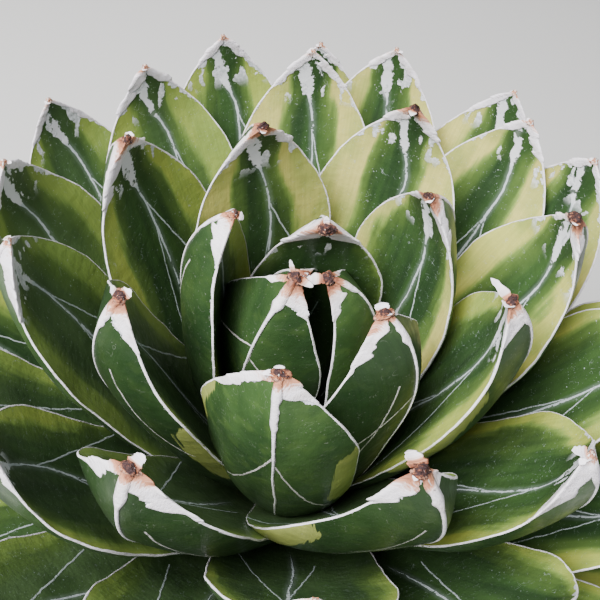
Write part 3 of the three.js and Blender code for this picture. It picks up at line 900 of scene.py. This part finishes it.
def make_heart(material):
    """The heart: a short stem with a ring of scars at each old leaf's foot."""
    soil = SOIL_TOP - ROSETTE_HEIGHT
    crown = soil + SOIL_CROWN
    rings = turned([
        (0, soil - HEART_ROOTED), (HEART_NECK, soil - HEART_ROOTED), (HEART_NECK, crown),
        *((HEART_NECK + (HEART_GIRTH - HEART_NECK) * t, crown + (HEART_FOOT - crown) * t)
          for t in np.linspace(0.1, 0.9, 9)),
        *((float(heart_radius(z)), z)
          for z in HEART_FOOT + (HEART_TOP - HEART_FOOT) * np.linspace(0, 0.97, 60)),
        (HEART_TIP, HEART_TOP), (0, HEART_TOP + HEART_CAP),
    ], HEART_SIDES)
    angle = np.arctan2(rings[..., 1], rings[..., 0])
    height = rings[..., 2]
    scars = 0.5 * np.sin(height / SCAR_SPACING * math.pi + 2.5 * np.sin(angle * 5))
    scars = scars + 0.2 * np.sin(angle * 34 + height * 900)
    rings[..., :2] *= (1 - 0.012 * (1 + scars) * (height > soil))[..., None]
    rings[..., 2] += ROSETTE_HEIGHT
    work = Patchwork()
    work.tube(rings)
    return work.piece("heart_scarred", [material])


# ---- Materials ----

class Recipe:
    """A material's nodes, with short calls for the few kinds that are used."""

    def __init__(self, name):
        self.material = bpy.data.materials.new(name)
        self.material.use_nodes = True
        self.tree = self.material.node_tree
        self.tree.nodes.clear()
        self.shader = self.tree.nodes.new("ShaderNodeBsdfPrincipled")
        output = self.tree.nodes.new("ShaderNodeOutputMaterial")
        self.tree.links.new(self.shader.outputs[0], output.inputs[0])

    def feed(self, socket, value):
        if isinstance(value, bpy.types.NodeSocket):
            self.tree.links.new(value, socket)
        elif socket.type == "RGBA":
            socket.default_value = (*value, 1.0)
        else:
            socket.default_value = value

    def give(self, name, value):
        """Feeds one of the shader's own sockets."""
        self.feed(self.shader.inputs[name], value)

    def node(self, kind, output, inputs, **settings):
        """One output of a new node, which is set up first and then fed."""
        made = self.tree.nodes.new("ShaderNode" + kind)
        for name, value in settings.items():
            setattr(made, name, value)
        for name, value in inputs.items():
            self.feed(made.inputs[name], value)
        return made.outputs[output]

    def parts(self, vector):
        """The three numbers of a vector."""
        return self.node("SeparateXYZ", 0, {0: vector}).node.outputs

    def attribute(self, name):
        """The three numbers of one of VALUES."""
        return self.parts(self.node("Attribute", "Vector", {}, attribute_name=name))

    def object_place(self):
        return self.node("TexCoord", "Object", {})

    def vector(self, x, y, z):
        return self.node("CombineXYZ", 0, {0: x, 1: y, 2: z})

    def math(self, operation, a, b=0.0, c=0.0):
        return self.node("Math", 0, {0: a, 1: b, 2: c}, operation=operation)

    def plus(self, a, b):
        return self.math("ADD", a, b)

    def minus(self, a, b):
        return self.math("SUBTRACT", a, b)

    def times(self, a, b):
        return self.math("MULTIPLY", a, b)

    def size(self, a):
        return self.math("ABSOLUTE", a)

    def ramp(self, a, factor, offset):
        return self.math("MULTIPLY_ADD", a, factor, offset)

    def sway(self, noise, factor, offset=0.0):
        """The offset swayed either way by a noise, whose middle is a half."""
        return self.ramp(self.minus(noise, 0.5), factor, offset)

    def most(self, *values):
        result = values[0]
        for value in values[1:]:
            result = self.math("MAXIMUM", result, value)
        return result

    def step(self, value, start, end, low=0.0, high=1.0):
        """A soft step from low at start to high at end."""
        names = ("Value", "From Min", "From Max", "To Min", "To Max")
        inputs = dict(zip(names, (value, start, end, low, high)))
        return self.node("MapRange", 0, inputs, interpolation_type="SMOOTHSTEP")

    def noise(self, place, scale, detail=3.0, rough=0.55):
        inputs = {"Vector": place, "Scale": scale, "Detail": detail, "Roughness": rough}
        return self.node("TexNoise", "Fac", inputs)

    def mix(self, amount, a, b):
        return self.node("Mix", 2, {0: amount, 6: a, 7: b}, data_type="RGBA")

    def bump(self, height, strength, distance, under=None):
        inputs = {"Height": height, "Strength": strength, "Distance": distance}
        if under is not None:
            inputs["Normal"] = under
        return self.node("Bump", 0, inputs)


def flesh_material(colours):
    """Waxy leaf: a dark green middle and cream flanks on the inner face, plain green outside, with
    bloom lines, torn crusts of horn by the edge, and a few specks."""
    r = Recipe("leaf_flesh")
    v, to_tip, face = r.attribute("place")
    # The leaf's third value is painted sun on the inner face and painted shade on the outer
    seed, flanks, sunny = r.attribute("leaf")
    from_edge, horn_wide, across = r.attribute("edge")
    main, main_half, _burn = r.attribute("line")
    fork_a, fork_b, strip_wide = r.attribute("fork")
    inner = r.step(face, -0.2, 0.2)
    outer = r.minus(1.0, inner)

    flat = r.vector(across, to_tip, seed)
    streaks = r.noise(r.vector(r.ramp(across, 0.20, seed), r.times(to_tip, 0.016), seed), 1.0, 4.0, 0.6)
    fine = r.noise(r.vector(r.ramp(across, 1.7, seed), r.times(to_tip, 0.05), seed), 1.0, 3.0, 0.6)
    patches = r.noise(r.vector(r.ramp(across, 0.10, seed), r.times(to_tip, 0.045), seed), 1.0, 2.0, 0.5)
    clouds = r.noise(r.vector(r.times(across, 0.075), r.times(to_tip, 0.035), seed), 1.0, 1.0, 0.5)
    torn = r.noise(flat, 0.24, 2.0, 0.5)
    ragged = r.noise(flat, 0.85, 3.0, 0.6)
    tiny = r.minus(r.noise(flat, 2.4, 2.0, 0.6), 0.5)

    # Pale flanks of the inner face, in soft steps from dark green over green and yellow green to cream;
    # their tone follows painted sun, and less sunny ones fade out towards the foot as painted shade
    border = r.plus(r.ramp(flanks, -0.62, 1.0), r.step(to_tip, 2.0, 17.0, 0.55, 0.0))
    # Painted shade: less sunny flanks give way to green towards the foot
    border = r.plus(border, r.times(r.step(to_tip, 45.0, 100.0, 0.0, 0.4), r.step(sunny, 0.55, 0.35)))
    reach = r.sway(torn, 0.07, r.sway(clouds, 0.50, r.sway(streaks, 0.34, r.size(v))))
    past = r.minus(reach, border)
    flank = r.times(r.step(past, -0.34, -0.03), inner)
    greenish = r.times(r.step(past, -0.07, 0.05), inner)
    creamy = r.times(r.step(past, 0.01, 0.13), inner)

    # Narrow jagged strips by the edges of the outer face
    jagged = r.sway(fine, 5.0, from_edge)
    outer_strip = r.times(r.step(r.minus(strip_wide, jagged), -0.1, 0.35), outer)
    outer_strip = r.times(outer_strip, r.step(strip_wide, 0.1, 0.4))

    dark = r.mix(r.step(streaks, 0.30, 0.70), colours.green_dark, colours.green_mid)
    dark = r.mix(r.step(clouds, 0.45, 0.70, 0.0, 0.30), dark, colours.green_light)
    # Painted light: the middles of the leaves in front get a lighter green in patches, and their pale
    # flanks show less
    front_painted_light = r.step(sunny, 0.42, 0.22)
    dark = r.mix(r.times(front_painted_light, r.step(clouds, 0.30, 0.62, 0.35, 1.0)), dark, colours.green_painted_light)
    dark = r.mix(r.times(flank, r.step(patches, 0.30, 0.62, 0.35, 1.0)), dark, colours.flank)
    back = r.mix(r.step(patches, 0.32, 0.72), colours.back_dark, colours.back_light)
    back = r.mix(r.step(fine, 0.42, 0.75, 0.0, 0.22), back, colours.back_light)
    back = r.mix(r.step(torn, 0.48, 0.72, 0.0, 0.30), back, colours.flank)
    # Painted shade: the listed outer faces darken towards a deep green
    back = r.mix(sunny, back, colours.back_painted_shade)
    green = r.mix(inner, back, dark)
    # Painted light and shade: flanks with more painted sun turn cream, those with less greenish cream and
    # yellow green
    warm = r.mix(r.step(sunny, 0.20, 0.55), colours.yellow_green, colours.cream_green)
    warm = r.mix(r.step(sunny, 0.50, 0.90), warm, colours.cream)
    warm = r.mix(r.step(patches, 0.58, 0.34, 0.0, 0.50), warm, colours.yellow_green)
    base = r.mix(r.times(greenish, r.ramp(front_painted_light, -0.35, 0.9)), green, colours.yellow_green)
    base = r.mix(r.times(creamy, r.ramp(front_painted_light, -0.35, 0.96)), base, warm)
    base = r.mix(r.times(outer_strip, 0.8), base, r.mix(0.45, colours.yellow_green, colours.cream))
    base = r.mix(r.step(fine, 0.62, 0.42, 0.0, 0.10), base, colours.green_mid)

    # Bloom: the printed blotch and line with its forks, specks and short scratches
    wobble = r.sway(torn, 3.6, r.sway(ragged, 1.0, tiny))
    wide = r.times(main_half, r.ramp(ragged, 1.1, 0.45))
    near_blotch = r.step(main_half, 0.5, 0.9)
    way = r.size(r.plus(main, r.times(wobble, r.ramp(near_blotch, 0.75, 0.25))))
    printed = r.step(main_half, 0.04, 0.2)
    line = r.times(r.step(r.minus(way, wide), 0.12, -0.10), printed)
    line = r.times(line, r.step(r.sway(ragged, 0.4, torn), 0.33, 0.37))
    halo = r.times(r.step(way, 2.0, 0.2), r.times(printed, 0.12))
    patchy = r.step(ragged, 0.36, 0.44, 0.35, 1.0)
    forks = [
        r.times(r.step(r.size(r.ramp(wobble, 0.22, fork)), 0.33, 0.16), patchy) for fork in (fork_a, fork_b)
    ]
    spare = r.ramp(outer, -0.7, 1.0)
    specks = r.step(r.noise(flat, 1.0, 1.0, 0.4), 0.785, 0.80)
    dots = r.step(r.noise(flat, 2.3, 0.0, 0.4), 0.80, 0.83)
    arcs = r.size(r.minus(r.noise(flat, 0.55, 0.0, 0.4), 0.60))
    arcs = r.times(r.step(arcs, 0.011, 0.004), r.step(r.noise(flat, 0.33, 1.0), 0.60, 0.64))
    marks = r.most(r.times(line, 0.92), r.times(forks[0], 0.85), r.times(forks[1], 0.8))
    small = r.times(r.most(r.times(specks, 0.6), r.times(dots, 0.5), r.times(arcs, 0.45)), spare)
    mark_colour = r.mix(outer, r.mix(near_blotch, colours.bloom, colours.print), colours.horn_shade)
    base = r.mix(r.most(marks, small, r.times(halo, inner)), base, mark_colour)

    # Torn crusts of horn that reach in from the raised edge close to the spine, and loose flakes
    zone = r.step(to_tip, 26.0, 8.0)
    depth = r.times(zone, r.sway(torn, r.ramp(inner, 9.0, 5.0), r.ramp(inner, 0.6, -0.7)))
    depth = r.ramp(tiny, 1.6, r.sway(ragged, 1.4, depth))
    crust = r.step(r.minus(r.minus(from_edge, horn_wide), depth), 0.10, -0.08)
    crust = r.times(crust, r.step(zone, 0.02, 0.2))
    long = r.vector(r.ramp(across, 0.26, 5.0), r.times(to_tip, 0.13), seed)
    loose = r.ramp(tiny, 0.10, r.sway(ragged, 0.16, r.noise(long, 1.0, 1.0, 0.5)))
    by_spine = r.times(r.step(to_tip, 21.0, 15.0), r.step(to_tip, 2.0, 4.0))
    loose = r.times(r.step(loose, 0.61, 0.62), by_spine)
    crust = r.most(crust, r.times(loose, inner))
    crust = r.times(crust, r.step(ragged, 0.26, 0.31))
    base = r.mix(crust, base, r.mix(r.step(ragged, 0.4, 0.65), colours.print_shade, colours.print))
    r.give("Base Color", base)
    dull = r.most(marks, crust)
    rough = r.plus(r.step(r.noise(flat, 0.35, 3.0), 0.3, 0.7, 0.34, 0.48), r.times(dull, 0.22))
    r.give("Roughness", rough)
    r.give("Specular IOR Level", 0.36)
    r.give("Coat Weight", 0.05)
    r.give("Coat Roughness", 0.25)
    lines = r.bump(fine, 0.14, 0.0003)
    dents = r.bump(r.noise(flat, 0.3, 3.0), 0.22, 0.0012, lines)
    r.give("Normal", r.bump(dull, 0.7, 0.0003, dents))
    return r.material


def horn_material(colours):
    """Dry horn: off-white with a lilac cast, peach and then brown towards the spine, with fine
    cracks."""
    r = Recipe("leaf_horn")
    to_tip = r.attribute("place")[1]
    seed = r.attribute("leaf")[0]
    across = r.attribute("edge")[2]
    burn = r.attribute("line")[2]
    flat = r.vector(across, to_tip, seed)
    blotch = r.noise(flat, 0.28, 4.0, 0.6)
    grain = r.noise(r.vector(r.times(across, 2.0), to_tip, seed), 1.3, 4.0, 0.65)
    base = r.mix(r.step(blotch, 0.42, 0.74, 0.0, 0.9), colours.horn, colours.horn_shade)
    near = r.sway(grain, 4.0, r.sway(blotch, 6.0, to_tip))
    peach = r.step(near, r.ramp(burn, 5.5, 1.4), r.ramp(burn, 2.6, 0.4), 0.0, 0.5)
    base = r.mix(peach, base, colours.horn_peach)
    warm = r.step(near, r.ramp(burn, 4.2, 1.0), r.ramp(burn, 3.0, 0.2))
    base = r.mix(r.times(warm, 0.9), base, colours.horn_warm)
    burnt = r.step(near, r.ramp(burn, 4.2, -0.5), r.ramp(burn, 2.2, -1.2))
    base = r.mix(burnt, base, colours.horn_burnt)
    cracks = r.times(r.step(r.noise(flat, 1.9, 3.0, 0.7), 0.66, 0.74), r.step(near, 12.0, 2.0, 0.0, 0.45))
    base = r.mix(r.times(cracks, r.step(burn, 0.1, 0.4)), base, colours.horn_burnt)
    r.give("Base Color", base)
    r.give("Roughness", 0.55)
    r.give("Normal", r.bump(r.plus(grain, r.times(blotch, 2.0)), 0.6, 0.0004))
    return r.material


def thorn_material(colours):
    """The spine: orange brown with dark purple mottles, more of them the more it is burnt."""
    r = Recipe("leaf_thorn")
    to_tip = r.attribute("place")[1]
    burn = r.attribute("line")[2]
    place = r.object_place()
    grain = r.noise(place, 1100.0, 4.0, 0.65)
    spots = r.noise(place, 800.0, 3.0, 0.65)
    base = r.mix(r.step(grain, 0.35, 0.62), colours.thorn_foot, colours.horn_warm)
    rim = r.step(r.sway(grain, 1.6, to_tip), 0.0, 0.6, 0.0, 0.4)
    base = r.mix(rim, base, colours.horn_peach)
    top = r.step(to_tip, 0.2, -0.7, -0.12, 0.10)
    dark = r.step(r.plus(r.ramp(burn, 0.30, spots), top), 0.56, 0.68)
    mottle = r.mix(r.step(grain, 0.52, 0.64), colours.thorn, colours.horn_burnt)
    base = r.mix(r.times(dark, 0.95), base, mottle)
    base = r.mix(r.step(burn, 0.38, 0.16), base, colours.horn_peach)
    r.give("Base Color", base)
    r.give("Roughness", 0.68)
    r.give("Normal", r.bump(grain, 1.0, 0.0009))
    return r.material


def mineral_material(name, colour, roughness, scale, relief=0.0005, bands=0.0):
    """A matt mineral finish in Object coordinates: soft blotches, a fine grain, and turning lines."""
    r = Recipe(name)
    place = r.object_place()
    blotch = r.noise(place, scale, 5.0, 0.6)
    grain = r.noise(place, scale * 14, 4.0, 0.65)
    darker = tuple(0.60 * part for part in colour)
    paler = tuple(min(1.0, 1.5 * part + 0.05) for part in colour)
    base = r.mix(r.step(blotch, 0.3, 0.7), darker, tuple(colour))
    base = r.mix(r.step(grain, 0.62, 0.74, 0.0, 0.35), base, paler)
    if bands:
        level = r.vector(0.0, 0.0, r.parts(place)[2])
        cloud = r.noise(place, scale * 0.6, 4.0, 0.6)
        lime = r.step(r.ramp(r.noise(level, 60.0, 2.0), 0.3, cloud), 0.66, 0.86)
        base = r.mix(r.times(lime, bands), base, LIME)
    r.give("Base Color", base)
    r.give("Roughness", roughness)
    height = r.bump(grain, 0.5, relief)
    if bands:
        height = r.bump(r.noise(level, 700.0, 2.0), 0.35, relief, height)
    r.give("Normal", height)
    return r.material


# ---- Settings ----

def tint(name, description, value):
    return bpy.props.FloatVectorProperty(
        name=name, description=description, default=value, size=3, min=0, max=1, subtype="COLOR"
    )


def amount(name, description, value, unit="NONE"):
    return bpy.props.FloatProperty(name=name, description=description, default=value, unit=unit)


class LeafSettings(bpy.types.PropertyGroup):
    """Sizes of what lies on a leaf."""

    horn_edge: amount("Horn edge", "Width of the horny edge along a leaf", 0.00032, "LENGTH")
    fin: amount("Horn fin", "How far the horn stands off the edge by the spine", 0.0016, "LENGTH")


class PotSettings(bpy.types.PropertyGroup):
    """What fills the pot."""

    grains: bpy.props.IntProperty(name="Grit", description="Loose grains on the soil", default=900, min=0)


class ColourSettings(bpy.types.PropertyGroup):
    """Colours of the plant, its pot and its soil."""

    green_dark: tint("Dark green", "Middle of the inner face", (0.018, 0.040, 0.015))
    green_mid: tint("Green", "Streaks of the middle", (0.035, 0.078, 0.022))
    green_light: tint("Light green", "Clouds of the middle", (0.062, 0.124, 0.031))
    # Painted light: the lighter green of the lit middles of the leaves in front
    green_painted_light: tint("Old green", "Middle of the older leaves in front", (0.088, 0.150, 0.058))
    flank: tint("Flank green", "Green beside the pale flanks", (0.088, 0.150, 0.035))
    back_dark: tint("Outer green", "Most of the outer face", (0.019, 0.045, 0.014))
    # Painted shade of the outer face
    back_painted_shade: tint("Deep outer green", "Outer face in the shade", (0.006, 0.018, 0.005))
    back_light: tint("Light outer green", "Patches of the outer face", (0.046, 0.094, 0.027))
    yellow_green: tint("Yellow green", "Border of the pale flanks", (0.200, 0.300, 0.066))
    cream: tint("Cream", "Pale flanks in the light", (0.59, 0.54, 0.155))
    cream_green: tint("Greenish cream", "Pale flanks in the shade", (0.44, 0.49, 0.085))
    bloom: tint("Bloom", "Printed lines and specks", (0.52, 0.58, 0.60))
    print: tint("Print", "Crusts by the tip", (0.78, 0.79, 0.82))
    print_shade: tint("Print shade", "Thin parts of the crusts", (0.52, 0.55, 0.56))
    horn: tint("Horn", "Horny edge", (0.91, 0.86, 0.92))
    horn_shade: tint("Horn shade", "Older horn", (0.68, 0.63, 0.63))
    horn_peach: tint("Peach horn", "Horn near the spine", (0.82, 0.60, 0.50))
    horn_warm: tint("Warm horn", "Horn close to the spine", (0.52, 0.19, 0.075))
    horn_burnt: tint("Burnt horn", "Horn at the spine", (0.20, 0.062, 0.032))
    thorn: tint("Spine", "Dark mottles of the spine", (0.020, 0.008, 0.012))
    thorn_foot: tint("Spine foot", "Brown of the spine", (0.30, 0.090, 0.042))
    terracotta: tint("Terracotta", "Pot", (0.44, 0.18, 0.09))
    soil: tint("Soil", "Gritty soil", (0.055, 0.036, 0.024))
    grit: tint("Grit", "Pale grains", (0.40, 0.36, 0.30))
    pumice: tint("Dark grit", "Brown grains", (0.16, 0.10, 0.065))
    heart: tint("Heart", "Old stem", (0.30, 0.22, 0.11))


class StageSettings(bpy.types.PropertyGroup):
    """Floor, light and camera."""

    floor: tint("Floor", "Pale floor", (0.72, 0.71, 0.69))
    key: amount("Key light", "Power of the main light", 39.0, "POWER")
    fill: amount("Fill light", "Power of the fill light", 3.0, "POWER")
    sky: amount("Sky", "Strength of the even light", 0.24)


# ---- Operators ----

class AGAVE_OT_leaves(bpy.types.Operator):
    """Every leaf with its horn, keel, bloom and spine"""

    bl_idname = "agave.leaves"
    bl_label = "Leaves"

    def execute(self, context):
        settings = context.scene.agave_leaves
        colours = context.scene.agave_colours
        materials = [flesh_material(colours), horn_material(colours), thorn_material(colours)]
        for n, node in enumerate(LEAF_NODES):
            made = make_leaf(n, settings).piece("fine_" + node, materials)
            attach(made, "root")
            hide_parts(node)
        return {"FINISHED"}


class AGAVE_OT_heart(bpy.types.Operator):
    """The short stem that the leaves grow from"""

    bl_idname = "agave.heart"
    bl_label = "Heart"

    def execute(self, context):
        colours = context.scene.agave_colours
        made = make_heart(mineral_material("heart_fibre", colours.heart, 0.85, 160.0, 0.0006))
        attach(made, "root")
        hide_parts("heart")
        return {"FINISHED"}


class AGAVE_OT_pot(bpy.types.Operator):
    """The pot and the gritty soil in it"""

    bl_idname = "agave.pot"
    bl_label = "Pot and soil"

    def execute(self, context):
        colours = context.scene.agave_colours
        clay = mineral_material("pot_terracotta", colours.terracotta, 0.82, 28.0, 0.0003, bands=0.35)
        pot = make_pot(clay)
        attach(pot, "root")
        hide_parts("pot")
        grit = [
            mineral_material("grit_pale", colours.grit, 0.85, 260.0),
            mineral_material("grit_dark", colours.pumice, 0.85, 260.0),
        ]
        loam = mineral_material("soil_loam", colours.soil, 0.95, 220.0, 0.0009)
        soil = make_soil(loam, grit, context.scene.agave_pot)
        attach(soil, "root")
        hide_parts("soil")
        return {"FINISHED"}


class AGAVE_OT_stage(bpy.types.Operator):
    """The floor, the lights and the camera"""

    bl_idname = "agave.stage"
    bl_label = "Stage"

    def execute(self, context):
        settings = context.scene.agave_stage
        scene = context.scene
        mesh = bpy.data.meshes.new("floor")
        corners = [(x * FLOOR_REACH, y * FLOOR_REACH, 0) for x, y in ((-1, -1), (1, -1), (1, 1), (-1, 1))]
        mesh.from_pydata(corners, [], [(0, 1, 2, 3)])
        floor = bpy.data.objects.new("floor", mesh)
        scene.collection.objects.link(floor)
        r = Recipe("floor")
        r.give("Base Color", tuple(settings.floor))
        r.give("Roughness", 0.9)
        mesh.materials.append(r.material)

        middle = Vector((0, 0, ROSETTE_HEIGHT + LIGHT_AIM))
        for name, (size, place) in LAMPS.items():
            data = bpy.data.lights.new(name, "AREA")
            data.energy = getattr(settings, name)
            data.size = size
            lamp = bpy.data.objects.new(name, data)
            lamp.location = middle + Vector(place)
            lamp.rotation_euler = (-Vector(place)).to_track_quat("-Z", "Y").to_euler()
            scene.collection.objects.link(lamp)
        world = bpy.data.worlds.new("sky")
        world.use_nodes = True
        even = world.node_tree.nodes["Background"].inputs
        even[0].default_value = SKY_COLOUR
        even[1].default_value = settings.sky
        scene.world = world
        scene.camera = make_camera(scene)
        return {"FINISHED"}


CAMERA_HEIGHT_ANGLE = math.radians(55)
CAMERA_DISTANCE = 0.230
CAMERA_ROLL = math.radians(8.6)
CAMERA_AIM = Vector((-0.006, 0.0, ROSETTE_HEIGHT + 0.1115))
IMAGE_WIDTH = 600
FOCAL_PIXELS = 816
SENSOR_WIDTH = 36.0


def make_camera(scene):
    """A camera in front of the plant, above it and rolled a little, close enough to fill the view."""
    data = bpy.data.cameras.new("camera")
    data.sensor_width = SENSOR_WIDTH
    data.lens = SENSOR_WIDTH * FOCAL_PIXELS / IMAGE_WIDTH
    data.clip_start = 0.01
    camera = bpy.data.objects.new("camera", data)
    ahead = Vector((0, math.cos(CAMERA_HEIGHT_ANGLE), -math.sin(CAMERA_HEIGHT_ANGLE)))
    level = Vector((1, 0, 0))
    above = level.cross(ahead)
    right = level * math.cos(CAMERA_ROLL) + above * math.sin(CAMERA_ROLL)
    up = above * math.cos(CAMERA_ROLL) - level * math.sin(CAMERA_ROLL)
    turn = Matrix((right, up, -ahead)).transposed().to_4x4()
    camera.matrix_world = Matrix.Translation(CAMERA_AIM - ahead * CAMERA_DISTANCE) @ turn
    scene.collection.objects.link(camera)
    return camera


class AGAVE_PT_panel(bpy.types.Panel):
    """Lists the settings and the operators"""

    bl_idname = "AGAVE_PT_panel"
    bl_label = "Agave"
    bl_space_type = "VIEW_3D"
    bl_region_type = "UI"
    bl_category = "Agave"

    def draw(self, context):
        for group_name in GROUPS:
            group = getattr(context.scene, group_name)
            for name in group.bl_rna.properties.keys():
                if name not in ("rna_type", "name"):
                    self.layout.prop(group, name)
        for operator in OPERATORS:
            self.layout.operator(operator.bl_idname)


GROUPS = {
    "agave_leaves": LeafSettings,
    "agave_pot": PotSettings,
    "agave_colours": ColourSettings,
    "agave_stage": StageSettings,
}
OPERATORS = (AGAVE_OT_leaves, AGAVE_OT_heart, AGAVE_OT_pot, AGAVE_OT_stage)
CLASSES = (*GROUPS.values(), *OPERATORS, AGAVE_PT_panel)


def register():
    for made in CLASSES:
        bpy.utils.register_class(made)
    for name, group in GROUPS.items():
        setattr(bpy.types.Scene, name, bpy.props.PointerProperty(type=group))


def unregister():
    for name in GROUPS:
        delattr(bpy.types.Scene, name)
    for made in reversed(CLASSES):
        bpy.utils.unregister_class(made)


def main():
    """Registers the add-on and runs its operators."""
    register()
    bpy.ops.agave.leaves()
    bpy.ops.agave.heart()
    bpy.ops.agave.pot()
    bpy.ops.agave.stage()
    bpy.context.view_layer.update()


if __name__ == "__main__":
    main()
